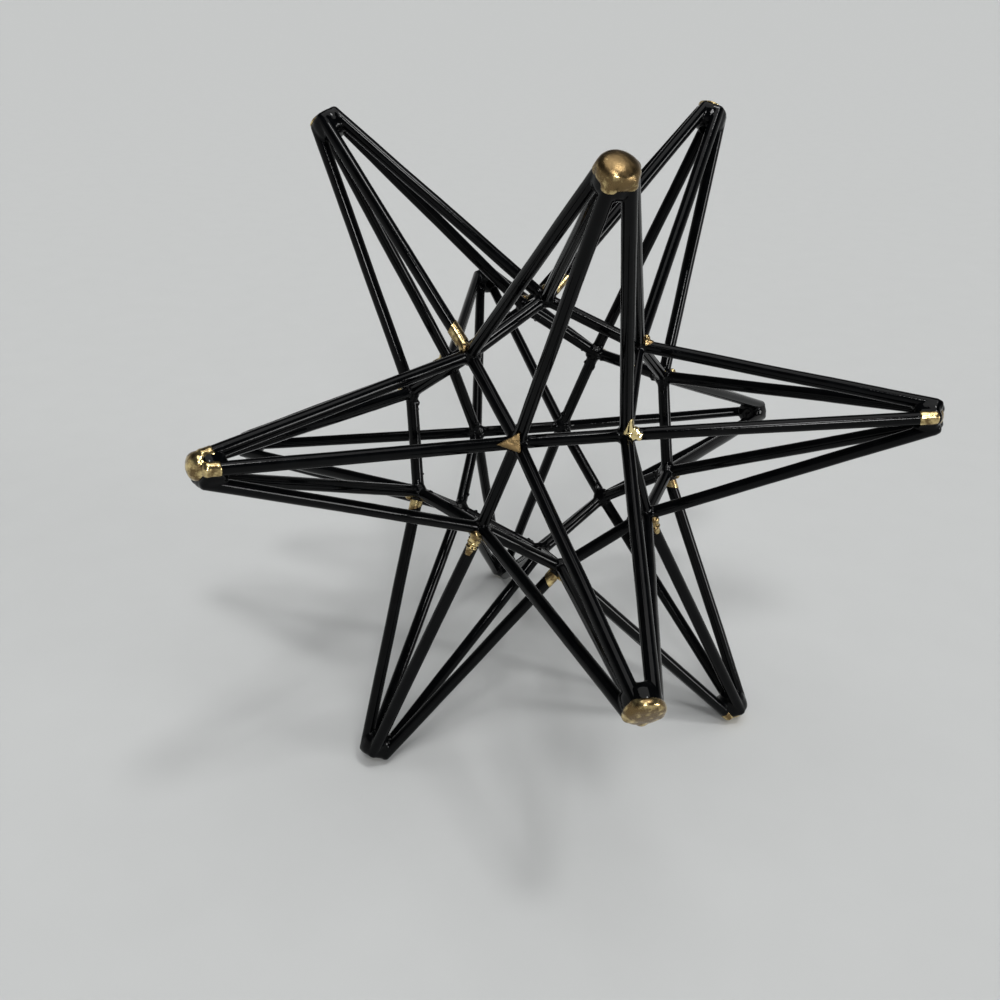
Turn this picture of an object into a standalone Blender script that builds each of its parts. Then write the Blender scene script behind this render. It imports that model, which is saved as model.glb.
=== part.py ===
"""Geometric star sculpture: twelve five-rod spikes brazed to a dodecahedral wire core.

The star stands on three of its tips. Lengths are in metres, +Z is up, and the origin is on
the table under the middle of the star.
"""
import math

import bmesh
import bpy
from mathutils import Matrix, Vector

# Driving dimensions
SPIKE_ROD_DIAMETER = 0.0030
CORE_WIRE_DIAMETER = 0.0030
CORE_EDGE = 0.0250            # corner to corner along one side of the core
SPIKE_HEIGHT = 0.0645         # from a core face to the cut ends of its five rods
TIP_MELT = 0.0002             # depth to which neighbouring rod ends are melted together
TIP_WELD_LENGTH = 0.0060      # length of the weld that fills the middle of a tip
CORE_BEND_RADIUS = 0.0022     # centre line of a core wire where it turns a corner
CAP_OVERHANG = 0.0003         # how far a tip cap stands out past the rods
CAP_RIM = 0.0005              # straight side of a tip cap
CAP_CROWN = 0.0020            # height of its dome
BEAD_DIAMETER = 0.0048        # braze bead in the crotch of three spike rods
BEAD_HEIGHT = 0.0025          # how far the bead rises above its seat
FOOT_CLEARANCE = 0.0004       # height of the foot rods' lowest corners above the table
FIT_GAP = 0.0003              # space left between neighbouring pieces
MERGE_DISTANCE = 0.00003      # points closer than this are one point

# Facets of the round shapes
BEVEL_RESOLUTION = 3
ROD_SIDES = 10
BEND_STEPS = 4
CAP_SIDES = 16
CROWN_STEPS = 4
BEAD_STEPS = 2
SMOOTH_ANGLE = math.radians(40)
ANGLE_TOLERANCE = math.radians(1)

# Finishes: base colour, roughness and metallic value
BLACK_ENAMEL = ((0.006, 0.006, 0.007, 1.0), 0.16, 0.0)
BRASS = ((0.56, 0.37, 0.13, 1.0), 0.32, 1.0)

# A star has five rods to a spike, and three spikes meet at each corner of the core
SIDES = 5
MEETING = 3
FIFTH = math.tau / SIDES
THIRD = math.tau / MEETING
GOLDEN = (1 + math.sqrt(5)) / 2

# The core, a regular dodecahedron
FACE_RADIUS = CORE_EDGE / (2 * math.sin(FIFTH / 2))
CORNER_DISTANCE = CORE_EDGE * GOLDEN * math.sqrt(MEETING) / 2
FACE_DISTANCE = math.sqrt(CORNER_DISTANCE ** 2 - FACE_RADIUS ** 2)

# Spike rods lean in from the corners of a face to a tight ring at the tip
ROD_RADIUS = SPIKE_ROD_DIAMETER / 2
WIRE_RADIUS = CORE_WIRE_DIAMETER / 2
TIP_RING_RADIUS = (ROD_RADIUS - TIP_MELT / 2) / math.sin(FIFTH / 2)
ROD_LEAN = math.atan((FACE_RADIUS - TIP_RING_RADIUS) / SPIKE_HEIGHT)
TIP_RADIUS = TIP_RING_RADIUS + ROD_RADIUS / math.cos(ROD_LEAN)

# With a corner of the core straight up, three tips stand steeply and three lean out
STEEP = math.acos(math.sqrt((5 + 2 * math.sqrt(5)) / 15))
SHALLOW = math.acos(math.sqrt((5 - 2 * math.sqrt(5)) / 15))
TIP_LEVELS = (
    ("top", STEEP, THIRD / 2),
    ("upper", SHALLOW, 0.0),
    ("lower", math.pi - SHALLOW, THIRD / 2),
    ("foot", math.pi - STEEP, 0.0),
)

# The middle of the star stands over the table by the reach of a foot
FOOT_REACH = (FACE_DISTANCE + SPIKE_HEIGHT) * math.cos(STEEP) + TIP_RADIUS * math.sin(STEEP)
CENTRE_HEIGHT = FOOT_REACH + FOOT_CLEARANCE

# At a corner, angles are taken from the line out of the middle of the star
ROD_ANGLE = math.atan2(FACE_RADIUS, FACE_DISTANCE) + ROD_LEAN
EDGE_ANGLE = math.pi - math.acos(CORE_EDGE / (2 * CORNER_DISTANCE))


def polar(angle, azimuth):
    """Unit vector at an angle from +Z, turned about Z by an azimuth."""
    side = math.sin(angle)
    return Vector((side * math.cos(azimuth), side * math.sin(azimuth), math.cos(angle)))


def end_trim(angle, radius, other_radius):
    """Length cut off a square-ended rod so that it clears another rod at this angle."""
    return (other_radius + radius * math.cos(angle) + FIT_GAP) / math.sin(angle)


def twin_trim(angle, radius):
    """Length cut off each of two like rods so that their square ends clear each other."""
    return radius / math.tan(angle / 2) + FIT_GAP / (2 * math.sin(angle / 2))


ROD_TO_EDGE = polar(ROD_ANGLE, 0).angle(polar(EDGE_ANGLE, THIRD / 2))
ROD_TO_ROD = polar(ROD_ANGLE, 0).angle(polar(ROD_ANGLE, THIRD))
EDGE_TO_EDGE = polar(EDGE_ANGLE, 0).angle(polar(EDGE_ANGLE, THIRD))
ROD_TRIM = max(end_trim(ROD_TO_EDGE, ROD_RADIUS, WIRE_RADIUS), twin_trim(ROD_TO_ROD, ROD_RADIUS))
WIRE_TRIM = end_trim(EDGE_TO_EDGE, WIRE_RADIUS, WIRE_RADIUS)
BEAD_SEAT = WIRE_RADIUS / math.sin(EDGE_ANGLE) + FIT_GAP


def clear_scene():
    """Start from an empty scene."""
    for obj in list(bpy.data.objects):
        bpy.data.objects.remove(obj, do_unlink=True)


def finish(name, look):
    """A Principled material from a base colour, a roughness and a metallic value."""
    colour, roughness, metallic = look
    material = bpy.data.materials.new(name)
    material.use_nodes = True
    shader = material.node_tree.nodes["Principled BSDF"]
    shader.inputs["Base Color"].default_value = colour
    shader.inputs["Roughness"].default_value = roughness
    shader.inputs["Metallic"].default_value = metallic
    return material


def mesh_from(shape, name):
    """Turn a bmesh into a mesh with its faces pointing out."""
    bmesh.ops.recalc_face_normals(shape, faces=shape.faces)
    mesh = bpy.data.meshes.new(name)
    shape.to_mesh(mesh)
    shape.free()
    return mesh


def guide(name, data):
    """An object that only helps to shape others."""
    obj = bpy.data.objects.new(name, data)
    bpy.context.collection.objects.link(obj)
    obj.hide_render = True
    obj.display_type = "WIRE"
    return obj


def evaluated(obj, name):
    """The mesh of an object with its modifiers applied."""
    bpy.context.view_layer.update()
    graph = bpy.context.evaluated_depsgraph_get()
    mesh = bpy.data.meshes.new_from_object(obj.evaluated_get(graph))
    mesh.name = name
    return mesh


def combined(base, others, operation, name):
    """Join meshes to a base mesh, or cut them from it, in one step."""
    shape = bmesh.new()
    for other in others:
        shape.from_mesh(other)
    body = guide(name + "_body", base)
    tool = guide(name + "_tool", mesh_from(shape, name + "_tool"))
    step = body.modifiers.new(name, "BOOLEAN")
    step.operation = operation
    step.solver = "EXACT"
    step.use_self = True
    step.object = tool
    mesh = evaluated(body, name)
    for obj in (body, tool):
        bpy.data.objects.remove(obj, do_unlink=True)
    return mesh


def rounded(mesh, material):
    """Shade the round sides smooth, keep the cut edges sharp, and give the mesh its finish."""
    mesh.shade_smooth()
    mesh.set_sharp_from_angle(angle=SMOOTH_ANGLE)
    mesh.materials.clear()
    mesh.materials.append(material)
    return mesh


def frustum(start, end, start_radius, end_radius, name):
    """A round bar between two points."""
    run = end - start
    turn = run.to_track_quat("Z", "Y").to_matrix().to_4x4()
    shape = bmesh.new()
    bmesh.ops.create_cone(
        shape, cap_ends=True, segments=ROD_SIDES, depth=run.length,
        radius1=start_radius, radius2=end_radius,
        matrix=Matrix.Translation((start + end) / 2) @ turn,
    )
    return mesh_from(shape, name)


def sliced(mesh, point, normal, name):
    """Cut away what lies beyond a plane."""
    size = 2 * SPIKE_HEIGHT
    turn = normal.to_track_quat("Z", "Y").to_matrix().to_4x4()
    shape = bmesh.new()
    bmesh.ops.create_cube(shape, size=size, matrix=Matrix.Translation(point + normal * size / 2) @ turn)
    return combined(mesh, [mesh_from(shape, "block")], "DIFFERENCE", name)


def face_corner(number):
    """Corner of a core face, in the face's own frame: +Z out and corner 0 on +X."""
    azimuth = number * FIFTH
    return Vector((FACE_RADIUS * math.cos(azimuth), FACE_RADIUS * math.sin(azimuth), 0.0))


def spike_mesh(material):
    """Five rods from the corners of a face, cut square at the tip and melted into a weld there."""
    cut = Vector((0, 0, SPIKE_HEIGHT))
    up = Vector((0, 0, 1))
    rods = []
    for number in range(SIDES):
        corner = face_corner(number)
        tip = corner * (TIP_RING_RADIUS / FACE_RADIUS) + cut
        way = (tip - corner).normalized()
        start = corner + way * ROD_TRIM
        end = tip + way * SPIKE_ROD_DIAMETER
        rods.append(sliced(frustum(start, end, ROD_RADIUS, ROD_RADIUS, "rod"), cut, up, "cut_rod"))
    weld_radius = TIP_RING_RADIUS + TIP_WELD_LENGTH * math.tan(ROD_LEAN)
    weld = frustum(cut - up * TIP_WELD_LENGTH, cut, weld_radius, TIP_RING_RADIUS, "weld")
    return rounded(combined(weld, rods, "UNION", "spike"), material)


def cap_profile():
    """Half outline of a tip cap, from the middle of its seat round to the top of its dome."""
    radius = TIP_RADIUS + CAP_OVERHANG
    seat = SPIKE_HEIGHT + FIT_GAP
    crown_radius = (radius ** 2 + CAP_CROWN ** 2) / (2 * CAP_CROWN)
    crown_middle = seat + CAP_RIM + CAP_CROWN - crown_radius
    spread = math.asin(radius / crown_radius)
    outline = [Vector((0, 0, seat)), Vector((radius, 0, seat))]
    for step in range(CROWN_STEPS + 1):
        angle = spread * (1 - step / CROWN_STEPS)
        side = crown_radius * math.sin(angle)
        outline.append(Vector((side, 0, crown_middle + crown_radius * math.cos(angle))))
    return outline


def cap_mesh(material):
    """A domed cap of braze over the cut ends of a spike's rods."""
    shape = bmesh.new()
    points = [shape.verts.new(point) for point in cap_profile()]
    lines = [shape.edges.new(pair) for pair in zip(points, points[1:])]
    bmesh.ops.spin(
        shape, geom=points + lines, cent=Vector(), axis=Vector((0, 0, 1)),
        angle=math.tau, steps=CAP_SIDES, use_merge=True,
    )
    bmesh.ops.remove_doubles(shape, verts=shape.verts, dist=MERGE_DISTANCE)
    return rounded(mesh_from(shape, "tip_cap"), material)


def foot_cap_mesh(cap, material):
    """A tip cap ground flat where it stands on the table."""
    down = polar(STEEP, 0)
    table = CENTRE_HEIGHT - FACE_DISTANCE * math.cos(STEEP)
    return rounded(sliced(cap, down * table, down, "foot_cap"), material)


def core_wire_mesh(material):
    """A wire bent to three sides of a core face, with the middle side across +X."""
    half_turn = Matrix.Rotation(FIFTH / 2, 3, "Z")
    corners = [half_turn @ face_corner(number) for number in range(-2, 2)]
    start = corners[0] + (corners[1] - corners[0]).normalized() * WIRE_TRIM
    end = corners[3] + (corners[2] - corners[3]).normalized() * WIRE_TRIM
    path = [start] + bend_points(*corners[:3]) + bend_points(*corners[1:]) + [end]
    curve = bpy.data.curves.new("core_wire", "CURVE")
    curve.dimensions = "3D"
    curve.bevel_depth = WIRE_RADIUS
    curve.bevel_resolution = BEVEL_RESOLUTION
    curve.use_fill_caps = True
    spline = curve.splines.new("POLY")
    spline.points.add(len(path) - 1)
    for point, place in zip(spline.points, path):
        point.co = place.to_4d()
    line = guide("core_wire_line", curve)
    mesh = evaluated(line, "core_wire")
    bpy.data.objects.remove(line, do_unlink=True)
    return rounded(mesh, material)


def bend_points(before, corner, after):
    """Points along the arc that rounds a corner of a core wire."""
    back = (before - corner).normalized()
    on = (after - corner).normalized()
    half = back.angle(on) / 2
    middle = corner + (back + on).normalized() * (CORE_BEND_RADIUS / math.sin(half))
    first = corner + back * (CORE_BEND_RADIUS / math.tan(half)) - middle
    normal = back.cross(on)
    turn = -(math.pi - 2 * half)
    steps = range(BEND_STEPS + 1)
    return [middle + Matrix.Rotation(turn * step / BEND_STEPS, 3, normal) @ first for step in steps]


def bead_mesh(material):
    """A dome of braze in the crotch of a corner, grooved to clear the three spike rods."""
    radius = BEAD_DIAMETER / 2
    middle = Vector((0, 0, BEAD_SEAT + BEAD_HEIGHT - radius))
    shape = bmesh.new()
    bmesh.ops.create_icosphere(
        shape, subdivisions=BEAD_STEPS, radius=radius, matrix=Matrix.Translation(middle),
    )
    dome = sliced(mesh_from(shape, "ball"), Vector((0, 0, BEAD_SEAT)), Vector((0, 0, -1)), "dome")
    reach = BEAD_SEAT + BEAD_HEIGHT + BEAD_DIAMETER
    groove_radius = ROD_RADIUS + FIT_GAP
    grooves = []
    for number in range(MEETING):
        end = polar(ROD_ANGLE, number * THIRD) * reach
        grooves.append(frustum(Vector(), end, groove_radius, groove_radius, "groove"))
    return rounded(combined(dome, grooves, "DIFFERENCE", "joint_bead"), material)


def tip_directions():
    """Name of each tip and the way it points."""
    tips = {}
    for level, angle, first in TIP_LEVELS:
        for number in range(MEETING):
            tips[f"{level}_{number + 1}"] = polar(angle, first + number * THIRD)
    return tips


def adjacent(one, other):
    """Whether two tips are neighbours, which their directions show."""
    nearest = math.acos(1 / math.sqrt(5))
    return abs(one.angle(other) - nearest) < ANGLE_TOLERANCE


def corner_tips(tips):
    """The three tips around each corner of the core, from the top of the star down."""
    ways = list(tips.values())
    corners = []
    for first in range(len(ways)):
        for second in range(first + 1, len(ways)):
            for third in range(second + 1, len(ways)):
                trio = (ways[first], ways[second], ways[third])
                if all(adjacent(trio[a], trio[b]) for a, b in ((0, 1), (0, 2), (1, 2))):
                    corners.append(trio)
    return corners


def facing(way, aside):
    """Turn with +Z along one direction and +X as near as can be to another."""
    side = (aside - way * aside.dot(way)).normalized()
    return Matrix((side, way.cross(side), way)).transposed().to_quaternion()


def place(name, mesh, centre, way, distance, aside):
    """Put a piece at a distance from the middle of the star, turned to face out."""
    obj = bpy.data.objects.new(name, mesh)
    bpy.context.collection.objects.link(obj)
    obj.parent = centre
    obj.location = way * distance
    obj.rotation_mode = "QUATERNION"
    obj.rotation_quaternion = facing(way, aside)
    return obj


def build_spikes(tips, centre, enamel, brass):
    """Twelve spikes and their caps, with corner 0 of each towards the nearer pole."""
    spike = spike_mesh(enamel)
    cap = cap_mesh(brass)
    foot_cap = foot_cap_mesh(cap, brass)
    for name, way in tips.items():
        aside = Vector((0, 0, math.copysign(1, way.z)))
        level = name.split("_")[0]
        place(f"spike_{name}", spike, centre, way, FACE_DISTANCE, aside)
        place(f"tip_cap_{name}", foot_cap if level == "foot" else cap, centre, way, FACE_DISTANCE, aside)


def build_core(tips, centre, enamel):
    """Ten bent wires: each belongs to one face and turns towards the next face round a pole."""
    wire = core_wire_mesh(enamel)
    pole = tips["top_1"]
    ring = [way for way in tips.values() if adjacent(way, pole)]
    step = Matrix.Rotation(FIFTH, 3, pole)
    for number, way in enumerate(ring):
        onward = step @ way
        place(f"core_wire_{number + 1}", wire, centre, way, FACE_DISTANCE, onward)
        place(f"core_wire_{number + 1 + SIDES}", wire, centre, -way, FACE_DISTANCE, -onward)


def build_beads(tips, centre, brass):
    """A bead of braze at every corner of the core."""
    bead = bead_mesh(brass)
    for number, trio in enumerate(corner_tips(tips)):
        way = sum(trio, Vector()).normalized()
        place(f"joint_bead_{number + 1:02d}", bead, centre, way, CORNER_DISTANCE, trio[0])


def main():
    clear_scene()
    enamel = finish("black_enamel", BLACK_ENAMEL)
    brass = finish("brass", BRASS)
    centre = bpy.data.objects.new("star_centre", None)
    bpy.context.collection.objects.link(centre)
    centre.location = (0, 0, CENTRE_HEIGHT)
    tips = tip_directions()
    build_spikes(tips, centre, enamel, brass)
    build_core(tips, centre, enamel)
    build_beads(tips, centre, brass)


main()
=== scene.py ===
"""Looks of the geometric star sculpture: enamelled rods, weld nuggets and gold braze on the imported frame."""

import itertools
import math
import random

import bmesh
import bpy
from bpy.props import FloatProperty, FloatVectorProperty, PointerProperty
from mathutils import Matrix, Vector, noise


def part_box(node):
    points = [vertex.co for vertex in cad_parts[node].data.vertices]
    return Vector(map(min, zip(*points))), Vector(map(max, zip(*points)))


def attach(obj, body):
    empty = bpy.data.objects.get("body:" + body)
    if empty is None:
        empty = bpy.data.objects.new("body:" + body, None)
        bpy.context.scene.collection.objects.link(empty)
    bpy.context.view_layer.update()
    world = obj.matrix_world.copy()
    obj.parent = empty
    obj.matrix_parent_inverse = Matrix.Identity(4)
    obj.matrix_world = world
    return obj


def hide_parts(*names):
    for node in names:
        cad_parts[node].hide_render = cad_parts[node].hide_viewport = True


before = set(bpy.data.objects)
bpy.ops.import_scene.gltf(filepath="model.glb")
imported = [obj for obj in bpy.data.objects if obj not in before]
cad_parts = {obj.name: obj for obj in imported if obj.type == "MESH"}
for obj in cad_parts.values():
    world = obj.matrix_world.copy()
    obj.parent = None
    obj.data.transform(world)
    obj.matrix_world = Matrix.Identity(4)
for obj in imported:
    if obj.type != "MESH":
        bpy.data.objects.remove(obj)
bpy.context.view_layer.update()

bl_info = {
    "name": "Geometric Star Sculpture",
    "version": (1, 0, 0),
    "blender": (4, 5, 0),
    "location": "View3D > Sidebar > Star",
    "description": "Dresses the packed wire star with enamelled rods, welds and gold braze",
    "category": "Object",
}

# Arrangement of the star: a corner of the core straight up, tips in four levels of three
GOLDEN = (1 + math.sqrt(5)) / 2
THIRD = math.tau / 3
STEEP = math.acos(math.sqrt((5 + 2 * math.sqrt(5)) / 15))
SHALLOW = math.acos(math.sqrt((5 - 2 * math.sqrt(5)) / 15))
LEVELS = (
    ("top", STEEP, THIRD / 2),
    ("upper", SHALLOW, 0.0),
    ("lower", math.pi - SHALLOW, THIRD / 2),
    ("foot", math.pi - STEEP, 0.0),
)
NEIGHBOUR_COSINE = 1 / math.sqrt(5)
COSINE_SLACK = 0.01

# Braze on the tips: length of gold on every rod end, on single rods named by their other two tips,
# height of the gold dome over the end, its width against the plain one, the tip it leans towards,
# how lumpy the gold is, and a mark that makes it brighter above zero and browner below zero: partly a
# clean run above zero and heat tint below it, partly painted sheen and painted shade of reflected light
TIP_GOLD = {
    "top_1": {"dome": 0.0007, "wide": 1.05, "lean": "top_2"},
    "top_2": {"dome": 0.0006, "wide": 1.1, "lean": "lower_2"},
    "top_3": {
        "every": 0.0020, "rods": {("upper_3", "lower_3"): 0.0028},
        "dome": 0.0013, "wide": 1.04, "clean": -0.7,
    },
    "upper_1": {"rods": {("top_3", "lower_3"): 0.0040}, "dome": 0.0008, "wide": 0.6},
    "upper_3": {
        "rods": {("top_3", "lower_3"): 0.0030, ("top_2", "top_3"): 0.0026},
        "dome": 0.0020, "wide": 0.98, "lean": "top_2", "lumps": 0.5,
    },
    "lower_3": {"every": 0.0014, "dome": 0.0005, "wide": 1.05, "clean": -0.15},
    "foot_1": {"rods": {("lower_3", "foot_3"): 0.0022}, "dome": 0.0009},
    "foot_3": {"dome": 0.0003, "wide": 0.5},
}
PLAIN_TIP_GOLD = {"dome": 0.0005}

# Braze on the joints: radius of the drop in the crotch, web of gold stretched over the rods, sleeves round
# a rod from one distance to another, fingers on the outer side of a rod, folds across the fingers, size
# of the splashes along the edges of the web, how long the gold settled, and a mark that makes it brighter
# above zero and browner below zero: partly a clean run above zero and heat tint below it, partly painted
# sheen and painted shade of reflected light
JOINT_GOLD = {
    ("top_2", "top_3", "upper_3"): {
        "crotch": 0.0011, "sleeves": {"top_2": (0.0032, 0.0080)}, "fingers": {"top_2": 0.0042},
    },
    ("top_1", "top_2", "top_3"): {
        "crotch": 0.0010, "sleeves": {"top_1": (0.0028, 0.0084)}, "fingers": {"top_1": 0.0040},
    },
    # Browned web: partly heat tint, partly painted shade that darkens this corner as dark reflections would
    ("top_3", "upper_3", "lower_3"): {
        "web": {"top_3": 0.0048, "upper_3": 0.0062, "lower_3": 0.0046}, "settle": 4, "clean": -0.5,
    },
    # Clean run here: partly real, partly painted sheen, the bright glow of reflected light on this splash
    ("top_3", "upper_1", "lower_3"): {
        "web": {"top_3": 0.0033, "upper_1": 0.0042, "lower_3": 0.0033}, "splash": 0.0009, "settle": 9,
        "fingers": {"top_3": 0.0062}, "clean": 0.6,
    },
    ("upper_3", "lower_3", "foot_3"): {"crotch": 0.0015, "fingers": {"foot_3": 0.0072}, "folds": 3},
    ("lower_3", "foot_1", "foot_3"): {"crotch": 0.0010, "sleeves": {"foot_3": (0.0022, 0.0046)}},
    ("upper_1", "lower_3", "foot_1"): {"crotch": 0.0013, "fingers": {"foot_1": 0.0056}, "folds": 2},
    ("top_1", "top_3", "upper_1"): {"crotch": 0.0009, "fingers": {"upper_1": 0.0036}},
    ("top_2", "upper_3", "lower_2"): {"crotch": 0.0009, "fingers": {"lower_2": 0.0034}},
    ("upper_3", "lower_2", "foot_3"): {"crotch": 0.0010, "sleeves": {"foot_3": (0.0022, 0.0042)}},
    ("upper_1", "lower_1", "foot_1"): {"crotch": 0.0010, "sleeves": {"foot_1": (0.0022, 0.0042)}},
}

# Lamps: azimuth, angle from straight up and spread in degrees, and share of the lamp strength
LAMPS = (
    ("ceiling", 20, 6, 50, 1.10),
    ("overhead", -10, 21, 10, 0.65),
    ("front_high", -66, 38, 10, 0.65),
    ("front_left", -64, 63, 10, 0.80),
    ("front_right", -4, 79, 16, 0.85),
)

# How far the rods are drawn past the cut ends of the solids, under the braze
ROD_PAST_CUT = 0.0010

# Fineness of the meshes, and the angle from which an edge stays sharp
ROD_SIDES = 24
ROD_RINGS = 26
BAR_RINGS = 12
STUB_RINGS = 5
SLEEVE_RINGS = 6
TURNED_SIDES = 40
DROP_DETAIL = 3
SHARP_ANGLE = math.radians(55)

# Hand-made unevenness of rods and bars: the seed that keeps their sway the same each run, how far they
# sway, how short its waves are, how uneven they are against the sway, and how far they stop short of their
# ends in radii
SWAY_SEED = 7
ROD_SWAY = 0.00012
BAR_SWAY = 0.00008
SWAY_GRAIN = 60
UNEVEN_GRAIN = 420
UNEVEN_SHARE = 160
ROD_STAND_BACK = 0.8
BAR_STAND_BACK = 0.7

# How strongly each step of settling smooths a melted skin
SETTLE_FACTOR = 0.5

# Slope of tips whose ground end is plainly out of square, and the most that the others slope
TIP_TILT = {"lower_3": 0.26}
MOST_TIP_SLANT = 0.16

# Weld in a tip: where it starts and stops on a rod, its width there in rod radii, how unequal the rod ends
# are and how far they stand back, how flat they are, and the outline of the fill between them, as heights
# from the end and radii, both in radii of the ring of rods
TIP_WELD_LENGTH = 0.0095
TIP_WELD_STOP = 0.0010
TIP_WELD_NECK = 0.93
TIP_WELD_HEAD = 1.03
ROD_ENDS = {"upper_1": {"bumps": 0.10, "stand": 0.0005}}
PLAIN_ROD_ENDS = {"bumps": 0.03, "stand": 0.0010}
ROD_END_STRETCH = (0.58, 0.72)
TIP_FILL = (
    (-2.5, 0.80), (-2.15, 1.48), (-1.65, 1.68), (-0.85, 1.68),
    (-0.42, 1.61), (-0.16, 1.48), (-0.03, 1.22), (0.0, 0.80),
)

# Gold on a rod end: how unequally it ran, its fade at the root, its swelling in thicknesses of braze,
# and the swelling, stretch and wrinkles that lumps add
RUN_SPREAD = (0.8, 1.2)
RUN_FADE = 0.0006
RUN_SWELL = 1.3
LUMP_SWELL = (0.2, 1.6)
BULGE_STRETCH = 0.64
LUMP_STRETCH = 0.2
TIP_GOLD_WRINKLE = 0.00003
LUMP_WRINKLE = 0.00007

# Full cap of gold: how far it covers the rods in radii, its lip as a depth and a share of its width, its
# shoulder as heights and shares of its width, and its dome as shares of its height and width
CAP_COVER = 1.06
CAP_LIP = (0.0005, 0.94)
CAP_SHOULDER = ((-0.0007, 1.0), (-0.0001, 0.95))
CAP_DOME = ((0.40, 0.82), (0.72, 0.60), (0.92, 0.35), (1.0, 0.12))

# Pool of gold on a tip without a cap: how far it covers the rods in radii, leans aside and sinks in
POOL_COVER = 0.50
POOL_LEAN = 0.0008
POOL_SINK = 0.0002

# Settling of the gold on a tip, where it is lumpy and elsewhere, its cells against the other melted skins,
# and how far from its middle the mark of clean run and heat tint, with its painted sheen and painted shade,
# reaches
LUMPY_FROM = 0.4
LUMPY_SETTLE = 5
SMOOTH_SETTLE = 16
TIP_GOLD_CELL = 0.72
TIP_MARK_REACH = 0.0056

# Weld at a joint: length on rods and bars, width at the corner and at its ends and of the nugget in rod
# radii, fillets between the bars, and its cells against the other melted skins
WELD_ON_ROD = 0.0062
WELD_ON_BAR = 0.0052
WELD_ROOT = 1.12
WELD_END = 0.92
NUGGET = 1.42
FILLET_OUT = 0.0011
FILLET_SIZES = (0.75, 1.0)
JOINT_WELD_CELL = 1.05

# Spatter at a joint: how many beads, how far round a bar and along it, how far out in radii, and how large
SPATTER_COUNT = (4, 7)
SPATTER_TURN = 1.2
SPATTER_ALONG = (0.0022, 0.0046)
SPATTER_OUT = 1.02
SPATTER_SIZES = (0.00034, 0.00058)

# Gold at a joint that has no row above, and the place and shape of the drop in a crotch
PLAIN_CROTCH = (0.0009, 0.0012)
PLAIN_FINGER = (0.0034, 0.0050)
CROTCH_OUT = 0.0032
CROTCH_SINK = 0.5
CROTCH_STRETCH = 0.9

# Web of gold: how far its middle stands out, and its splashes along an edge
WEB_CROWN = 0.00005
SPLASH_ALONG = (0.35, 0.65)
SPLASH_SINK = 0.0004
SPLASH_SPREAD = (0.8, 1.2)
SPLASH_STRETCH = 0.5

# Finger of gold: where it starts on its rod, how far it stands out there, and its seat at the far end and
# its widths in rod radii
FINGER_START = 0.0016
FINGER_RISE = 0.0005
FINGER_SEAT = 0.62
FINGER_ROOT = 1.06
FINGER_END = 0.52

# Folds across a finger: the first one and the span as shares of its length, how far they stray and stand
# out, their width in rod radii and how it tapers, and how flat they are
FIRST_FOLD = 0.24
FOLD_SPAN = 0.56
FOLD_STRAY = 0.2
FOLD_RISE = 0.0002
FOLD_WIDTH = 1.22
FOLD_TAPER = 0.40
FOLD_STRETCH = 0.36

# Sleeve of gold: its thickness against the other braze and the slope of its edge
SLEEVE_SHARE = 0.8
SLEEVE_SLOPE = 0.5

# Gold at a joint: its cells against the other melted skins, steps of settling where its row says none, and
# the middle and reach of the mark of clean run and heat tint, with its painted sheen and painted shade
JOINT_GOLD_CELL = 0.62
JOINT_GOLD_SETTLE = 3
JOINT_MARK_OUT = 0.0028
JOINT_MARK_REACH = 0.0075

# How strongly that mark moves the tint of the gold
MARK_WEIGHT = 0.55

# Stage: the floor and its faint mottle, the heights on the sky between which the pale walls turn into the
# dim ceiling, and the camera's sensor in millimetres and nearest distance
FLOOR_RADIUS = 40.0
FLOOR_SIDES = 96
FLOOR_MOTTLE = 0.985
WALL_TOP = 0.20
CEILING_FROM = 0.50
SENSOR_WIDTH = 36.0
NEAREST = 0.01

noise.seed_set(SWAY_SEED)


def polar(angle, azimuth):
    """Unit vector at an angle from +Z, turned about Z by an azimuth."""
    side = math.sin(angle)
    return Vector((side * math.cos(azimuth), side * math.sin(azimuth), math.cos(angle)))


def square_to(way, other):
    """Unit vector square to one direction, on the side of another."""
    return (other - way * other.dot(way)).normalized()


def tip_ways():
    """Name of each tip and the way it points from the middle of the star."""
    ways = {}
    for level, angle, first in LEVELS:
        for number in range(3):
            ways[f"{level}_{number + 1}"] = polar(angle, first + number * THIRD)
    return ways


WAYS = tip_ways()


def are_neighbours(one, other):
    """Whether two spikes share a side of the core."""
    return abs(WAYS[one].dot(WAYS[other]) - NEIGHBOUR_COSINE) < COSINE_SLACK


def opposite(tip):
    """The tip across the star from another."""
    return min(WAYS, key=lambda other: WAYS[other].dot(WAYS[tip]))


def corner_trios():
    """The three tips around each corner of the core, in the order of the joint beads."""
    trios = itertools.combinations(WAYS, 3)
    return [trio for trio in trios if all(are_neighbours(*pair) for pair in itertools.combinations(trio, 2))]


TRIOS = corner_trios()
STAR_MIDDLE = (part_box("spike_lower_2")[0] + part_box("spike_upper_1")[1]) / 2
CUT_REACH = max((v.co - STAR_MIDDLE).dot(WAYS["top_1"]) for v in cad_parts["spike_top_1"].data.vertices)


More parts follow.
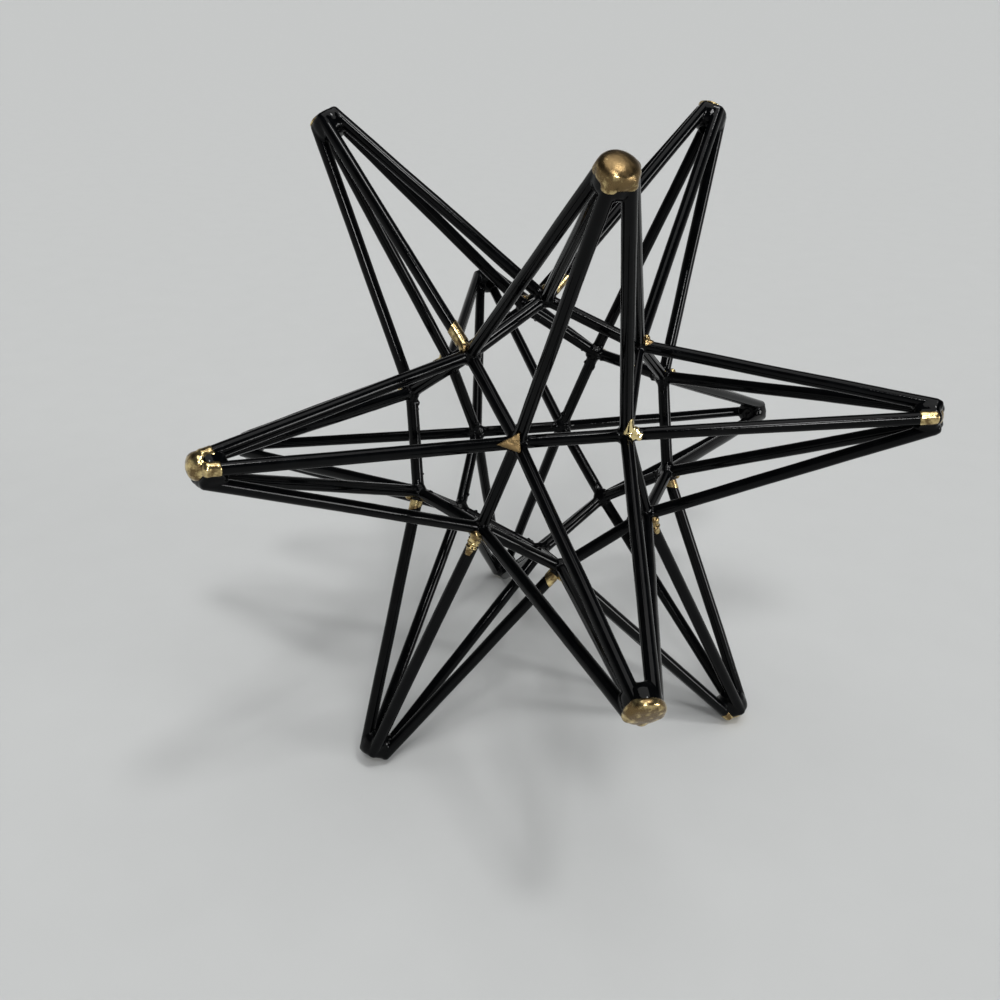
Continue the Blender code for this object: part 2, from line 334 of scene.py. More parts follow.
class StarSizes(bpy.types.PropertyGroup):
    """Sizes of the rods, welds and braze."""

    rod_diameter: FloatProperty(
        name="Rod diameter", description="Diameter of the spike rods and core bars",
        default=0.0030, min=0.001, unit="LENGTH",
    )
    core_edge: FloatProperty(
        name="Core side", description="Corner to corner along one side of the core",
        default=0.0250, min=0.01, unit="LENGTH",
    )
    tip_reach: FloatProperty(
        name="Tip reach", description="From the middle of the star to the ends of the rods",
        default=CUT_REACH + ROD_PAST_CUT, min=0.02, unit="LENGTH",
    )
    tip_ring: FloatProperty(
        name="Tip ring", description="Radius of the ring of five rod ends at a tip",
        default=0.0024, min=0.001, unit="LENGTH",
    )
    braze_thickness: FloatProperty(
        name="Braze thickness", description="How far the gold stands out from the rods",
        default=0.00014, min=0.00005, unit="LENGTH",
    )
    melt: FloatProperty(
        name="Melt", description="Size of the cells in which joined shapes are melted together",
        default=0.00030, min=0.0001, unit="LENGTH",
    )


class StarFinish(bpy.types.PropertyGroup):
    """Colours of the enamel and the braze."""

    enamel_colour: FloatVectorProperty(
        name="Enamel", description="Colour of the black enamel", subtype="COLOR", size=4,
        min=0, max=1, default=(0.0005, 0.0006, 0.0008, 1.0),
    )
    enamel_thin: FloatVectorProperty(
        name="Thin enamel", description="Colour where the enamel has run thin", subtype="COLOR", size=4,
        min=0, max=1, default=(0.0018, 0.0021, 0.0025, 1.0),
    )
    # Bright gold: clean braze, and also painted sheen of reflected light where the mark is above zero
    gold_bright_and_sheen: FloatVectorProperty(
        name="Bright gold", description="Colour of clean braze", subtype="COLOR", size=4,
        min=0, max=1, default=(0.95, 0.79, 0.40, 1.0),
    )
    gold_warm: FloatVectorProperty(
        name="Warm gold", description="Colour of most of the braze", subtype="COLOR", size=4,
        min=0, max=1, default=(0.77, 0.61, 0.295, 1.0),
    )
    # Burnt gold: heat-browned braze, and also painted shade where the mark is below zero
    gold_burnt_and_shade: FloatVectorProperty(
        name="Burnt gold", description="Colour of braze browned by heat", subtype="COLOR", size=4,
        min=0, max=1, default=(0.18, 0.122, 0.056, 1.0),
    )


class StarStage(bpy.types.PropertyGroup):
    """Floor, light and camera."""

    floor_colour: FloatVectorProperty(
        name="Floor", description="Colour of the floor", subtype="COLOR", size=4,
        min=0, max=1, default=(0.58, 0.59, 0.585, 1.0),
    )
    wall_colour: FloatVectorProperty(
        name="Walls", description="Light of the pale walls all round", subtype="COLOR", size=4,
        min=0, max=1, default=(0.50, 0.50, 0.49, 1.0),
    )
    ceiling_colour: FloatVectorProperty(
        name="Ceiling", description="Light of the dim ceiling between the lamps", subtype="COLOR", size=4,
        min=0, max=1, default=(0.07, 0.072, 0.076, 1.0),
    )
    lamp_strength: FloatProperty(
        name="Lamp light", description="Strength of the lamps above and in front", default=1.0, min=0,
    )
    camera_place: FloatVectorProperty(
        name="Camera place", description="Where the camera stands", subtype="TRANSLATION", size=3,
        unit="LENGTH", default=(0.0705, -0.2251, STAR_MIDDLE.z + 0.1015),
    )
    camera_turn: FloatVectorProperty(
        name="Camera turn", description="Which way the camera looks", subtype="EULER", size=3,
        default=(math.radians(62.87), 0.0, math.radians(20.04)),
    )
    camera_lens: FloatProperty(
        name="Lens", description="Focal length on a sensor 36 mm wide", default=36.0, min=1,
    )


def corner_way(trio):
    """Direction of a corner of the core from the middle of the star."""
    return sum((WAYS[tip] for tip in trio), Vector()).normalized()


def corner_at(trio, sizes):
    """Place of a corner of the core."""
    return STAR_MIDDLE + corner_way(trio) * (sizes.core_edge * GOLDEN * math.sqrt(3) / 2)


def rods_of(tip):
    """The corners from which the rods of a tip rise."""
    return [trio for trio in TRIOS if tip in trio]


def tip_slant(tip):
    """Slope of the ground end of a tip, each a little different."""
    if tip in TIP_TILT:
        return square_to(WAYS[tip], Vector((0, 0, 1))) * TIP_TILT[tip]
    pick = random.Random(tip)
    across = pick.uniform(-MOST_TIP_SLANT, MOST_TIP_SLANT)
    up = pick.uniform(-MOST_TIP_SLANT, MOST_TIP_SLANT)
    return WAYS[tip].to_track_quat("Z", "Y") @ Vector((across, up, 0))


def tip_face(tip):
    """Direction square to the ground end of a tip."""
    return (WAYS[tip] - tip_slant(tip)).normalized()


def tip_middle(tip, sizes):
    """Middle of the ground end of a tip."""
    return STAR_MIDDLE + WAYS[tip] * sizes.tip_reach


def rod_end(tip, trio, sizes):
    """Centre of a rod's end at the tip, on the slanted plane to which the tip is ground."""
    axis = WAYS[tip]
    side = square_to(axis, corner_at(trio, sizes) - STAR_MIDDLE)
    height = sizes.tip_reach + side.dot(tip_slant(tip)) * sizes.tip_ring
    return STAR_MIDDLE + axis * height + side * sizes.tip_ring


def rod_line(tip, trio, sizes):
    """Centre of a rod's end at the tip, and the way the rod runs to it."""
    end = rod_end(tip, trio, sizes)
    return end, (end - corner_at(trio, sizes)).normalized()


def close_up(shape, loops):
    """Close a row of rings into one body."""
    for low, high in zip(loops, loops[1:]):
        for side in range(len(low)):
            onward = (side + 1) % len(low)
            shape.faces.new((low[side], low[onward], high[onward], high[side]))
    shape.faces.new(loops[0][::-1])
    shape.faces.new(loops[-1])


def tube(shape, start, end, start_radius, end_radius, rings=2, sway=0.0, sides=20, slope=Vector()):
    """Add a closed round bar, with a hand-drawn sway and unevenness and a sloping end where asked."""
    run = end - start
    turn = run.to_track_quat("Z", "Y")
    across = turn @ Vector((1, 0, 0))
    up = turn @ Vector((0, 1, 0))
    loops = []
    for ring in range(rings + 1):
        share = ring / rings
        middle = start + run * share
        radius = start_radius + (end_radius - start_radius) * share
        drift = noise.noise_vector(middle * SWAY_GRAIN) * (sway * math.sin(math.pi * share))
        radius *= 1 + noise.noise(middle * UNEVEN_GRAIN) * sway * UNEVEN_SHARE
        loop = []
        for side in range(sides):
            angle = math.tau * side / sides
            spoke = across * math.cos(angle) + up * math.sin(angle)
            step = run.normalized() * (spoke.dot(slope) * radius * share)
            loop.append(shape.verts.new(middle + drift + spoke * radius + step))
        loops.append(loop)
    close_up(shape, loops)


def turned(shape, place, axis, outline):
    """Add a closed body turned about an axis from pairs of height and radius."""
    turn = axis.to_track_quat("Z", "Y").to_matrix().to_4x4()
    set_up = Matrix.Translation(place) @ turn
    loops = []
    for height, radius in outline:
        level = set_up @ Matrix.Translation((0, 0, height))
        ring = bmesh.ops.create_circle(shape, segments=TURNED_SIDES, radius=radius, matrix=level)
        loops.append(ring["verts"])
    close_up(shape, loops)


def drop(shape, middle, radius, way=Vector((0, 0, 1)), stretch=1.0):
    """Add a rounded drop, stretched or flattened along one direction."""
    turn = way.to_track_quat("Z", "Y").to_matrix().to_4x4()
    size = Matrix.Diagonal((radius, radius, radius * stretch, 1))
    place = Matrix.Translation(middle) @ turn @ size
    bmesh.ops.create_icosphere(shape, subdivisions=DROP_DETAIL, radius=1.0, matrix=place)


def solid(shape, name):
    """Turn a bmesh into a mesh with its faces pointing out."""
    bmesh.ops.recalc_face_normals(shape, faces=shape.faces)
    mesh = bpy.data.meshes.new(name)
    shape.to_mesh(mesh)
    shape.free()
    return mesh


def melted(shape, name, cell, settle, wrinkle, wrinkle_size):
    """Melt overlapping shapes into one skin, let it settle smooth, then wrinkle it."""
    rough = solid(shape, name + "_rough")
    holder = bpy.data.objects.new(name + "_rough", rough)
    bpy.context.collection.objects.link(holder)
    melt = holder.modifiers.new("melt", "REMESH")
    melt.mode = "VOXEL"
    melt.voxel_size = cell
    smooth = holder.modifiers.new("settle", "SMOOTH")
    smooth.factor = SETTLE_FACTOR
    smooth.iterations = settle
    bpy.context.view_layer.update()
    graph = bpy.context.evaluated_depsgraph_get()
    mesh = bpy.data.meshes.new_from_object(holder.evaluated_get(graph))
    bpy.data.objects.remove(holder, do_unlink=True)
    bpy.data.meshes.remove(rough)
    normals = [vertex.normal.copy() for vertex in mesh.vertices]
    for vertex, normal in zip(mesh.vertices, normals):
        vertex.co += normal * (noise.noise(vertex.co / wrinkle_size) * wrinkle)
    return mesh


def stand_on_floor(mesh):
    """Flatten what would reach below the floor."""
    for vertex in mesh.vertices:
        vertex.co.z = max(vertex.co.z, 0.0)


def mark_run_and_sheen(mesh, middle, reach, clean):
    """Note on each point how clean the braze ran and how much sheen is painted on it, or below zero how
    browned it is and how much shade is painted on it, most at its middle.
    """
    mark = mesh.attributes.new("run_clean", "FLOAT", "POINT")
    for vertex, value in zip(mesh.vertices, mark.data):
        value.value = clean * max(0.0, 1.0 - (vertex.co - middle).length / reach)


def piece(name, mesh, material, nodes=()):
    """Show a mesh as a piece of the star, in place of the plain solids it stands for."""
    mesh.name = name
    mesh.materials.clear()
    mesh.materials.append(material)
    mesh.shade_smooth()
    mesh.set_sharp_from_angle(angle=SHARP_ANGLE)
    obj = bpy.data.objects.new(name, mesh)
    bpy.context.collection.objects.link(obj)
    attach(obj, "root")
    if nodes:
        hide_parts(*nodes)
    return obj


def spike_rods(tip, sizes):
    """The five rods of a spike, from the corners of the core to the tip."""
    shape = bmesh.new()
    radius = sizes.rod_diameter / 2
    for trio in rods_of(tip):
        end, way = rod_line(tip, trio, sizes)
        start = corner_at(trio, sizes) + way * radius
        stop = end - way * radius * ROD_STAND_BACK
        tube(shape, start, stop, radius, radius, rings=ROD_RINGS, sway=ROD_SWAY, sides=ROD_SIDES)
    return solid(shape, "rods")


def tip_weld(tip, sizes):
    """The end of a spike: five rod ends side by side, melted together with weld between them."""
    shape = bmesh.new()
    radius = sizes.rod_diameter / 2
    pick = random.Random(tip + " weld")
    ends = ROD_ENDS.get(tip, PLAIN_ROD_ENDS)
    for trio in rods_of(tip):
        end, way = rod_line(tip, trio, sizes)
        start = end - way * TIP_WELD_LENGTH
        stop = end - way * TIP_WELD_STOP
        tube(shape, start, stop, radius * TIP_WELD_NECK, radius * TIP_WELD_HEAD, rings=SLEEVE_RINGS)
        width = radius * (1 + pick.uniform(-1, 1) * ends["bumps"])
        drop(shape, end - way * ends["stand"], width, way, pick.uniform(*ROD_END_STRETCH))
    fill = [(height * sizes.tip_ring, width * sizes.tip_ring) for height, width in TIP_FILL]
    turned(shape, tip_middle(tip, sizes), tip_face(tip), fill)
    mesh = melted(shape, "tip_weld", sizes.melt, settle=8, wrinkle=0.00004, wrinkle_size=0.0016)
    stand_on_floor(mesh)
    return mesh


def cap_outline(depth, dome, width):
    """Outline of a full cap of gold, from its lip to the top of its dome."""
    lip_depth, lip_share = CAP_LIP
    outline = [(-depth - lip_depth, width * lip_share), (-depth, width)]
    outline += [(height, width * share) for height, share in CAP_SHOULDER]
    outline += [(dome * height, width * share) for height, share in CAP_DOME]
    return outline


def tip_gold(tip, sizes):
    """Gold braze over the end of a tip and some way down its rods."""
    look = TIP_GOLD.get(tip, PLAIN_TIP_GOLD)
    every = look.get("every", 0.0)
    wide = look.get("wide", 1.0)
    dome = look["dome"]
    lumps = look.get("lumps", 0.0)
    shape = bmesh.new()
    radius = sizes.rod_diameter / 2
    thick = sizes.braze_thickness
    pick = random.Random(tip + " gold")
    for trio in rods_of(tip):
        others = tuple(name for name in trio if name != tip)
        length = look.get("rods", {}).get(others, every * pick.uniform(*RUN_SPREAD))
        if length <= 0:
            continue
        end, way = rod_line(tip, trio, sizes)
        start = end - way * (length + RUN_FADE)
        stop = end - way * TIP_WELD_STOP
        tube(shape, start, stop, radius + thick, radius + thick * RUN_SWELL, rings=STUB_RINGS)
        bulge = thick * (RUN_SWELL + lumps * pick.uniform(*LUMP_SWELL))
        drop(shape, stop, radius + bulge, way, BULGE_STRETCH + LUMP_STRETCH * lumps)
    middle = tip_middle(tip, sizes)
    if every:
        width = (sizes.tip_ring + radius * CAP_COVER) * wide
        turned(shape, middle, tip_face(tip), cap_outline(every, dome, width))
    else:
        width = (sizes.tip_ring + radius * POOL_COVER) * wide
        if "lean" in look:
            middle += square_to(WAYS[tip], WAYS[look["lean"]]) * POOL_LEAN
        drop(shape, middle - WAYS[tip] * POOL_SINK, width, tip_face(tip), dome / width)
    settle = LUMPY_SETTLE if lumps > LUMPY_FROM else SMOOTH_SETTLE
    wrinkle = TIP_GOLD_WRINKLE + LUMP_WRINKLE * lumps
    mesh = melted(shape, "tip_gold", sizes.melt * TIP_GOLD_CELL, settle, wrinkle, wrinkle_size=0.0014)
    stand_on_floor(mesh)
    # Clean run and heat tint, partly painted sheen and painted shade, strongest at the middle of the dome
    mark_run_and_sheen(mesh, middle + WAYS[tip] * (dome / 2), TIP_MARK_REACH, look.get("clean", 0.0))
    return mesh


def core_bars(face, next_face, sizes):
    """Three bars of the core along neighbouring sides of one face."""
    shape = bmesh.new()
    radius = sizes.rod_diameter / 2
    shared = [tip for tip in WAYS if are_neighbours(tip, face) and are_neighbours(tip, next_face)]
    for other in [next_face] + shared:
        start, end = [corner_at(trio, sizes) for trio in TRIOS if face in trio and other in trio]
        inset = (end - start).normalized() * radius * BAR_STAND_BACK
        tube(shape, start + inset, end - inset, radius, radius,
             rings=BAR_RINGS, sway=BAR_SWAY, sides=ROD_SIDES)
    return solid(shape, "bars")


def joint_lines(trio, sizes):
    """A corner, and the directions of the three rods and of the three core bars that leave it."""
    corner = corner_at(trio, sizes)
    rods = {tip: (rod_end(tip, trio, sizes) - corner).normalized() for tip in trio}
    bars = []
    for other in TRIOS:
        if len(set(other) & set(trio)) == 2:
            bars.append((corner_at(other, sizes) - corner).normalized())
    return corner, rods, bars


def joint_weld(trio, sizes):
    """Black weld round a corner, with spatter beads on its inner side."""
    corner, rods, bars = joint_lines(trio, sizes)
    shape = bmesh.new()
    radius = sizes.rod_diameter / 2
    pick = random.Random(" ".join(trio))
    lengths = [(way, WELD_ON_ROD) for way in rods.values()] + [(way, WELD_ON_BAR) for way in bars]
    for way, length in lengths:
        tube(shape, corner, corner + way * length, radius * WELD_ROOT, radius * WELD_END, rings=STUB_RINGS)
    drop(shape, corner, radius * NUGGET)
    for one, other in itertools.combinations(bars, 2):
        drop(shape, corner + (one + other) * FILLET_OUT, radius * pick.uniform(*FILLET_SIZES))
    inward = -corner_way(trio)
    for bead in range(pick.randint(*SPATTER_COUNT)):
        way = bars[pick.randrange(3)]
        turn = Matrix.Rotation(pick.uniform(-SPATTER_TURN, SPATTER_TURN), 3, way)
        around = turn @ square_to(way, inward)
        spot = corner + way * pick.uniform(*SPATTER_ALONG) + around * radius * SPATTER_OUT
        drop(shape, spot, pick.uniform(*SPATTER_SIZES))
    cell = sizes.melt * JOINT_WELD_CELL
    return melted(shape, "joint_weld", cell, settle=4, wrinkle=0.00005, wrinkle_size=0.0014)


def gold_web(shape, corner, out, points, splash, pick):
    """Stretch a web of gold over a corner between points on its rods, with splashes along its edges."""
    crown = shape.verts.new(sum(points, Vector()) / 3 + out * WEB_CROWN)
    root = shape.verts.new(corner)
    rim = [shape.verts.new(point) for point in points]
    for one, other in zip(rim, rim[1:] + rim[:1]):
        shape.faces.new((one, other, crown))
        shape.faces.new((other, one, root))
    if not splash:
        return
    for one, other in zip(points, points[1:] + points[:1]):
        edge = one.lerp(other, pick.uniform(*SPLASH_ALONG)) - out * SPLASH_SINK
        drop(shape, edge, splash * pick.uniform(*SPLASH_SPREAD), out, SPLASH_STRETCH)


def gold_finger(shape, corner, way, lift, length, folds, radius, pick):
    """Run a finger of gold along the outer side of a rod, with folds across it."""
    start = corner + way * FINGER_START + lift * FINGER_RISE
    end = corner + way * length + lift * (radius * FINGER_SEAT)
    tube(shape, start, end, radius * FINGER_ROOT, radius * FINGER_END, rings=SLEEVE_RINGS)
    for fold in range(folds):
        share = FIRST_FOLD + FOLD_SPAN * (fold + pick.uniform(-FOLD_STRAY, FOLD_STRAY)) / folds
        place = start.lerp(end, share) + lift * FOLD_RISE
        drop(shape, place, radius * (FOLD_WIDTH - FOLD_TAPER * share), way, FOLD_STRETCH)


def joint_gold(trio, sizes):
    """Gold braze in the crotch of a corner, run out along some of its rods."""
    corner, rods, bars = joint_lines(trio, sizes)
    pick = random.Random(" ".join(trio) + " gold")
    lucky = trio[pick.randrange(3)]
    plain = {"crotch": pick.uniform(*PLAIN_CROTCH), "fingers": {lucky: pick.uniform(*PLAIN_FINGER)}}
    look = JOINT_GOLD.get(trio, plain)
    shape = bmesh.new()
    radius = sizes.rod_diameter / 2
    thick = sizes.braze_thickness
    out = corner_way(trio)
    lifts = {tip: square_to(way, out) for tip, way in rods.items()}
    if "crotch" in look:
        place = corner + out * (CROTCH_OUT - look["crotch"] * CROTCH_SINK)
        drop(shape, place, look["crotch"], out, CROTCH_STRETCH)
    if "web" in look:
        points = []
        for tip, length in look["web"].items():
            points.append(corner + rods[tip] * length + lifts[tip] * (radius + thick))
        gold_web(shape, corner, out, points, look.get("splash"), pick)
    for tip, length in look.get("fingers", {}).items():
        gold_finger(shape, corner, rods[tip], lifts[tip], length, look.get("folds", 0), radius, pick)
    settle = look.get("settle", JOINT_GOLD_SETTLE)
    cell = sizes.melt * JOINT_GOLD_CELL
    mesh = melted(shape, "joint_gold", cell, settle, wrinkle=0.00004, wrinkle_size=0.0012)
    shape = bmesh.new()
    shape.from_mesh(mesh)
    wide = radius + thick * SLEEVE_SHARE
    for tip, (begin, finish) in look.get("sleeves", {}).items():
        way = rods[tip]
        slope = square_to(way, bars[0]) * SLEEVE_SLOPE
        start = corner + way * begin
        stop = corner + way * finish
        tube(shape, start, stop, wide, wide, rings=SLEEVE_RINGS, sides=ROD_SIDES, slope=slope)
    shape.to_mesh(mesh)
    shape.free()
    # Clean run and heat tint, partly painted sheen and painted shade, strongest just outside the corner
    mark_run_and_sheen(mesh, corner + out * JOINT_MARK_OUT, JOINT_MARK_REACH, look.get("clean", 0.0))
    return mesh


def node(tree, kind, settings=(), **values):
    """Add a shader node with its settings and socket values."""
    made = tree.nodes.new(kind)
    for name, value in settings:
        setattr(made, name, value)
    for name, value in values.items():
        made.inputs[name.replace("_", " ")].default_value = value
    return made


def fresh_material(name):
    """A new material with its shader and its object coordinates."""
    material = bpy.data.materials.new(name)
    material.use_nodes = True
    tree = material.node_tree
    place = tree.nodes.new("ShaderNodeTexCoord").outputs["Object"]
    return material, tree, tree.nodes["Principled BSDF"], place


def ramp(tree, stops):
    """A colour ramp from pairs of position and colour."""
    made = tree.nodes.new("ShaderNodeValToRGB")
    elements = made.color_ramp.elements
    elements[0].position, elements[0].color = stops[0]
    elements[1].position, elements[1].color = stops[-1]
    for position, colour in stops[1:-1]:
        elements.new(position).color = colour
    return made


def enamel(finish):
    """Glossy black enamel, a little thicker and thinner from place to place, with faint orange peel."""
    material, tree, shader, place = fresh_material("black_enamel_paint")
    shader.inputs["IOR"].default_value = 1.22
    runs = node(tree, "ShaderNodeTexNoise", Scale=310.0, Detail=3.0, Roughness=0.55)
    tint = ramp(tree, ((0.38, finish.enamel_colour), (0.78, finish.enamel_thin)))
    gloss = node(tree, "ShaderNodeMapRange", From_Min=0.3, From_Max=0.7, To_Min=0.03, To_Max=0.09)
    peel = node(tree, "ShaderNodeTexNoise", Scale=1500.0, Detail=2.0)
    bump = node(tree, "ShaderNodeBump", Strength=0.05, Distance=0.0003)
    for noise_node in (runs, peel):
        tree.links.new(place, noise_node.inputs["Vector"])
    tree.links.new(runs.outputs["Fac"], tint.inputs["Fac"])
    tree.links.new(tint.outputs["Color"], shader.inputs["Base Color"])
    tree.links.new(runs.outputs["Fac"], gloss.inputs["Value"])
    tree.links.new(gloss.outputs["Result"], shader.inputs["Roughness"])
    tree.links.new(peel.outputs["Fac"], bump.inputs["Height"])
    tree.links.new(bump.outputs["Normal"], shader.inputs["Normal"])
    return material


def braze(finish):
    """Gold braze: bright and glossy where it ran clean and where the mark paints sheen, brown and duller where
    overheated and where the mark paints shade, wrinkled.
    """
    material, tree, shader, place = fresh_material("gold_braze")
    shader.inputs["Metallic"].default_value = 1.0
    mark = node(tree, "ShaderNodeAttribute", (("attribute_name", "run_clean"),))
    cloud = node(tree, "ShaderNodeTexNoise", Scale=520.0, Detail=5.0, Roughness=0.6)
    # The mark shifts the tint: brighter for a clean run and painted sheen, browner for heat tint and painted
    # shade
    blend = node(tree, "ShaderNodeMath", (("operation", "MULTIPLY_ADD"),))
    blend.inputs[1].default_value = MARK_WEIGHT
    tint = ramp(tree, (
        (0.42, finish.gold_burnt_and_shade), (0.62, finish.gold_warm), (0.88, finish.gold_bright_and_sheen),
    ))
    gloss = node(tree, "ShaderNodeMapRange", From_Min=0.1, From_Max=0.75, To_Min=0.40, To_Max=0.09)
    skin = node(tree, "ShaderNodeTexNoise", Scale=1300.0, Detail=3.0, Roughness=0.5)
    bump = node(tree, "ShaderNodeBump", Strength=0.12, Distance=0.0004)
    for noise_node in (cloud, skin):
        tree.links.new(place, noise_node.inputs["Vector"])
    tree.links.new(mark.outputs["Fac"], blend.inputs[0])
    tree.links.new(cloud.outputs["Fac"], blend.inputs[2])
    tree.links.new(blend.outputs["Value"], tint.inputs["Fac"])
    tree.links.new(tint.outputs["Color"], shader.inputs["Base Color"])
    tree.links.new(blend.outputs["Value"], gloss.inputs["Value"])
    tree.links.new(gloss.outputs["Result"], shader.inputs["Roughness"])
    tree.links.new(skin.outputs["Fac"], bump.inputs["Height"])
    tree.links.new(bump.outputs["Normal"], shader.inputs["Normal"])
    return material


def floor_paint(stage):
    """Plain pale floor with a faint mottle."""
    material, tree, shader, place = fresh_material("pale_floor")
    shade = [channel * FLOOR_MOTTLE for channel in stage.floor_colour[:3]] + [1.0]
    mottle = node(tree, "ShaderNodeTexNoise", Scale=60.0, Detail=3.0)
    tint = ramp(tree, ((0.3, shade), (0.7, stage.floor_colour)))
    shader.inputs["Roughness"].default_value = 0.9
    shader.inputs["Specular IOR Level"].default_value = 0.1
    tree.links.new(place, mottle.inputs["Vector"])
    tree.links.new(mottle.outputs["Fac"], tint.inputs["Fac"])
    tree.links.new(tint.outputs["Color"], shader.inputs["Base Color"])
    return material


def enamel_paint():
    """The black enamel, made once."""
    return bpy.data.materials.get("black_enamel_paint") or enamel(bpy.context.scene.star_finish)


def gold_paint():
    """The gold braze, made once."""
    return bpy.data.materials.get("gold_braze") or braze(bpy.context.scene.star_finish)


class STAR_OT_spike_rods(bpy.types.Operator):
    """Draw the sixty enamelled rods, five to a spike"""

    bl_idname = "star.spike_rods"
    bl_label = "Spike rods"

    def execute(self, context):
        for tip in WAYS:
            mesh = spike_rods(tip, context.scene.star_sizes)
            piece(f"rods_{tip}", mesh, enamel_paint(), [f"spike_{tip}"])
        return {"FINISHED"}


class STAR_OT_tip_welds(bpy.types.Operator):
    """Melt the rod ends of every spike together"""

    bl_idname = "star.tip_welds"
    bl_label = "Tip welds"

    def execute(self, context):
        for tip in WAYS:
            mesh = tip_weld(tip, context.scene.star_sizes)
            piece(f"tip_weld_{tip}", mesh, enamel_paint())
        return {"FINISHED"}


class STAR_OT_tip_gold(bpy.types.Operator):
    """Cover the tips with gold braze, each as far as it ran"""

    bl_idname = "star.tip_gold"
    bl_label = "Tip braze"

    def execute(self, context):
        for tip in WAYS:
            mesh = tip_gold(tip, context.scene.star_sizes)
            piece(f"tip_gold_{tip}", mesh, gold_paint(), [f"tip_cap_{tip}"])
        return {"FINISHED"}


class STAR_OT_core_bars(bpy.types.Operator):
    """Draw the thirty bars of the core, three to a wire"""

    bl_idname = "star.core_bars"
    bl_label = "Core bars"

    def execute(self, context):
        ring = [tip for tip in WAYS if are_neighbours(tip, "top_1")]
        turn = Matrix.Rotation(math.tau / 5, 3, WAYS["top_1"])
        for number, tip in enumerate(ring):
            onward = max(ring, key=lambda other: WAYS[other].dot(turn @ WAYS[tip]))
            pairs = ((number + 1, tip, onward), (number + 6, opposite(tip), opposite(onward)))
            for wire, face, next_face in pairs:
                mesh = core_bars(face, next_face, context.scene.star_sizes)
                piece(f"core_bars_{wire}", mesh, enamel_paint(), [f"core_wire_{wire}"])
        return {"FINISHED"}


class STAR_OT_joint_welds(bpy.types.Operator):
    """Put a weld nugget at every corner of the core"""

    bl_idname = "star.joint_welds"
    bl_label = "Joint welds"

    def execute(self, context):
        for number, trio in enumerate(TRIOS, 1):
            mesh = joint_weld(trio, context.scene.star_sizes)
            piece(f"joint_weld_{number:02d}", mesh, enamel_paint())
        return {"FINISHED"}


class STAR_OT_joint_gold(bpy.types.Operator):
    """Run gold braze into the crotch of every corner"""

    bl_idname = "star.joint_gold"
    bl_label = "Joint braze"

    def execute(self, context):
        for number, trio in enumerate(TRIOS, 1):
            mesh = joint_gold(trio, context.scene.star_sizes)
            piece(f"joint_gold_{number:02d}", mesh, gold_paint(), [f"joint_bead_{number:02d}"])
        return {"FINISHED"}


def lay_floor(stage):
    """A wide plain floor under the star."""
    shape = bmesh.new()
    bmesh.ops.create_circle(shape, cap_ends=True, segments=FLOOR_SIDES, radius=FLOOR_RADIUS)
    floor = bpy.data.objects.new("floor", solid(shape, "floor"))
    floor.data.materials.append(floor_paint(stage))
    bpy.context.collection.objects.link(floor)


def soft_room(stage):
    """Light from all round: pale walls and a dimmer ceiling."""
    world = bpy.data.worlds.new("soft_room")
    world.use_nodes = True
    tree = world.node_tree
    place = tree.nodes.new("ShaderNodeTexCoord")
    height = tree.nodes.new("ShaderNodeSeparateXYZ")
    room = ramp(tree, ((WALL_TOP, stage.wall_colour), (CEILING_FROM, stage.ceiling_colour)))
    tree.links.new(place.outputs["Generated"], height.inputs["Vector"])
    tree.links.new(height.outputs["Z"], room.inputs["Fac"])
    tree.links.new(room.outputs["Color"], tree.nodes["Background"].inputs["Color"])
    return world


def soft_lamp(name, azimuth, angle, spread, strength):
    """A lamp far away at an azimuth and an angle from straight up, spread over an angle."""
    data = bpy.data.lights.new(name, "SUN")
    data.energy = strength
    data.angle = spread
    lamp = bpy.data.objects.new(name, data)
    lamp.rotation_mode = "QUATERNION"
    lamp.rotation_quaternion = polar(angle, azimuth).to_track_quat("Z", "Y")
    bpy.context.collection.objects.link(lamp)


def set_camera(stage):
    """The camera, looking down at the star from in front."""
    camera = bpy.data.objects.new("camera", bpy.data.cameras.new("camera"))
    camera.data.lens = stage.camera_lens
    camera.data.sensor_width = SENSOR_WIDTH
    camera.data.clip_start = NEAREST
    camera.location = stage.camera_place
    camera.rotation_euler = stage.camera_turn
    bpy.context.collection.objects.link(camera)
    return camera


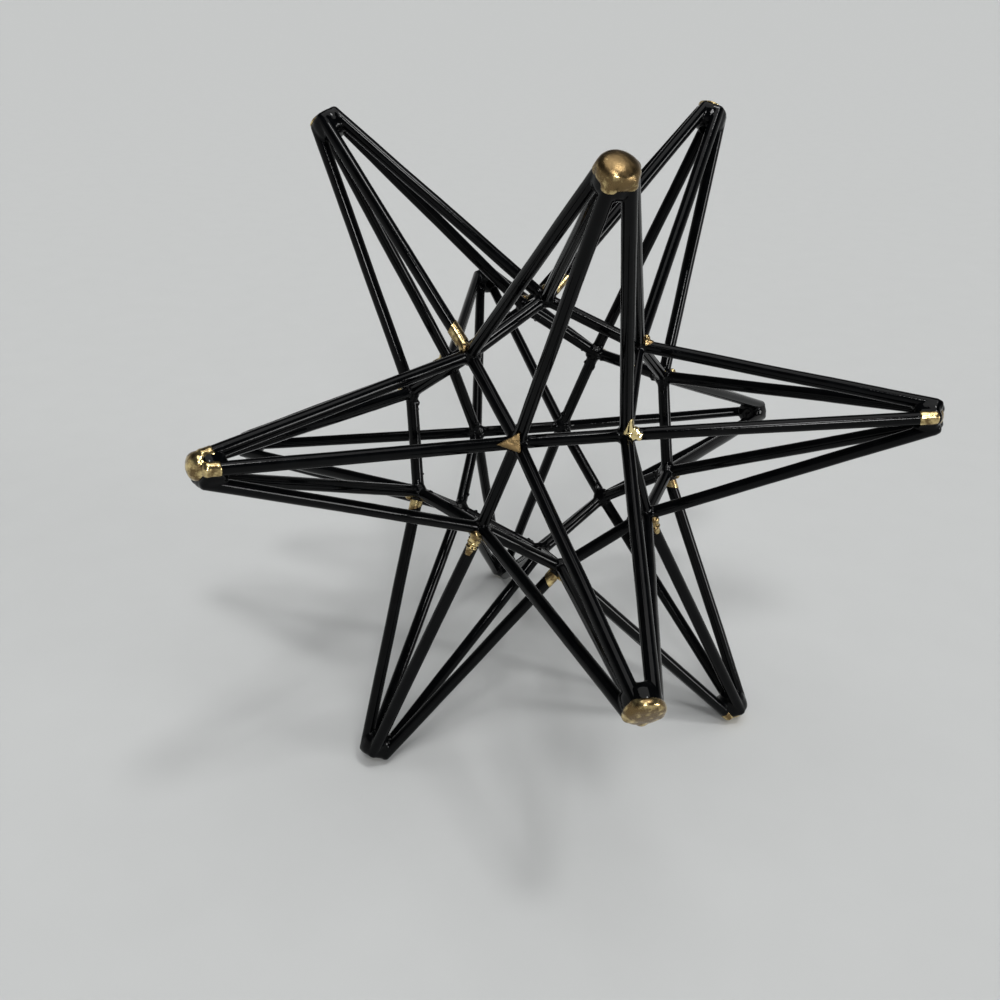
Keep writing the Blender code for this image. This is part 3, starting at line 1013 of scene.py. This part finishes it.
class STAR_OT_stage(bpy.types.Operator):
    """Set the floor, the soft light and the camera"""

    bl_idname = "star.stage"
    bl_label = "Stage"

    def execute(self, context):
        stage = context.scene.star_stage
        lay_floor(stage)
        context.scene.world = soft_room(stage)
        for name, *angles, share in LAMPS:
            azimuth, angle, spread = map(math.radians, angles)
            soft_lamp(name, azimuth, angle, spread, stage.lamp_strength * share)
        context.scene.camera = set_camera(stage)
        context.scene.view_settings.view_transform = "Standard"
        return {"FINISHED"}


class STAR_PT_panel(bpy.types.Panel):
    """The star's sizes, finishes and pieces"""

    bl_idname = "STAR_PT_panel"
    bl_label = "Geometric star"
    bl_space_type = "VIEW_3D"
    bl_region_type = "UI"
    bl_category = "Star"

    def draw(self, context):
        for group in (context.scene.star_sizes, context.scene.star_finish, context.scene.star_stage):
            column = self.layout.column(align=True)
            for name in group.__annotations__:
                column.prop(group, name)
        column = self.layout.column(align=True)
        for operator in OPERATORS:
            column.operator(operator.bl_idname)


OPERATORS = (
    STAR_OT_core_bars, STAR_OT_joint_welds, STAR_OT_joint_gold,
    STAR_OT_spike_rods, STAR_OT_tip_welds, STAR_OT_tip_gold, STAR_OT_stage,
)
CLASSES = (StarSizes, StarFinish, StarStage) + OPERATORS + (STAR_PT_panel,)


def register():
    """Make the star's classes and settings known to Blender."""
    for made in CLASSES:
        bpy.utils.register_class(made)
    bpy.types.Scene.star_sizes = PointerProperty(type=StarSizes)
    bpy.types.Scene.star_finish = PointerProperty(type=StarFinish)
    bpy.types.Scene.star_stage = PointerProperty(type=StarStage)


def unregister():
    """Take the star's classes and settings away again."""
    del bpy.types.Scene.star_stage
    del bpy.types.Scene.star_finish
    del bpy.types.Scene.star_sizes
    for made in reversed(CLASSES):
        bpy.utils.unregister_class(made)


def main():
    """Dress the frame and set the stage."""
    register()
    bpy.ops.star.core_bars()
    bpy.ops.star.joint_welds()
    bpy.ops.star.joint_gold()
    bpy.ops.star.spike_rods()
    bpy.ops.star.tip_welds()
    bpy.ops.star.tip_gold()
    bpy.ops.star.stage()
    bpy.context.view_layer.update()


if __name__ == "__main__":
    main()
